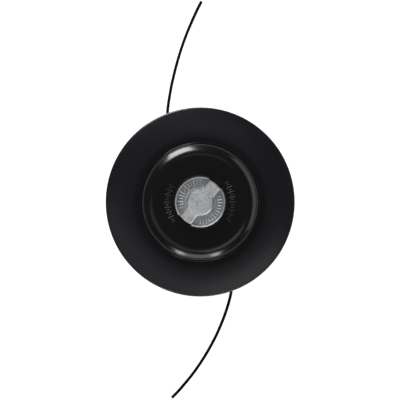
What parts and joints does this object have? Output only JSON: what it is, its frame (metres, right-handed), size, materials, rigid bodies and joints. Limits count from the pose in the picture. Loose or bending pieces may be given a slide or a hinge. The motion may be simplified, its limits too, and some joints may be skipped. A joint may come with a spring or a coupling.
{
  "type": "string trimmer head",
  "caption": "Tap-feed string trimmer head with a wide glide dish, a cast bump knob, a two-chamber spool and two nylon lines.",
  "frame": {"origin": "centre of the drive-side seat face, where the head meets the gearbox flange", "axes": "+Z along the axis of rotation, towards the ground side and the bump knob; +X and +Y in the plane of the dish"},
  "size_m": [0.15, 0.3244, 0.0561],
  "materials": {
    "dish_nylon": "moulded, glossy",
    "housing_nylon": "moulded, satin",
    "spool_nylon": "moulded, satin",
    "line_nylon": "extruded, satin",
    "cast_aluminium": "die cast, tumbled",
    "zinc_steel": "turned, zinc plated",
    "spring_steel": "drawn wire, zinc plated",
    "eyelet_steel": "turned, polished"
  },
  "bodies": {
    "drum": {"drum_housing": "housing_nylon", "arbor_insert": "zinc_steel", "feed_spring": "spring_steel", "glide_dish": "dish_nylon", "dish_screw_1": "zinc_steel", "dish_screw_2": "zinc_steel", "dish_screw_3": "zinc_steel", "dish_screw_4": "zinc_steel", "eyelet_1": "eyelet_steel", "eyelet_2": "eyelet_steel", "line_lead_1": "line_nylon", "line_lead_2": "line_nylon", "free_line_1": "line_nylon", "free_line_2": "line_nylon"},
    "thrust": {"thrust_washer": "zinc_steel"},
    "spool": {"spool": "spool_nylon", "line_winding_1": "line_nylon", "line_winding_2": "line_nylon", "spool_nut": "zinc_steel", "knob_stud": "zinc_steel", "bump_knob": "cast_aluminium"}
  },
  "joints": [
    {"name": "tap_travel", "type": "slide", "parent": "drum", "child": "thrust", "axis": [0, 0, -1], "range_m": [0, 0.0045], "stiffness_N_per_m": 1500, "springref_m": -0.01, "deforming": ["feed_spring"]},
    {"name": "feed_turn", "type": "hinge", "parent": "thrust", "child": "spool", "pos_m": [0, 0, 0.03], "axis": [0, 0, -1], "range_deg": [0, 30]}
  ],
  "couplings": [
    {"joint": "feed_turn", "follows": "tap_travel", "rad_per_m": 116.3}
  ]
}
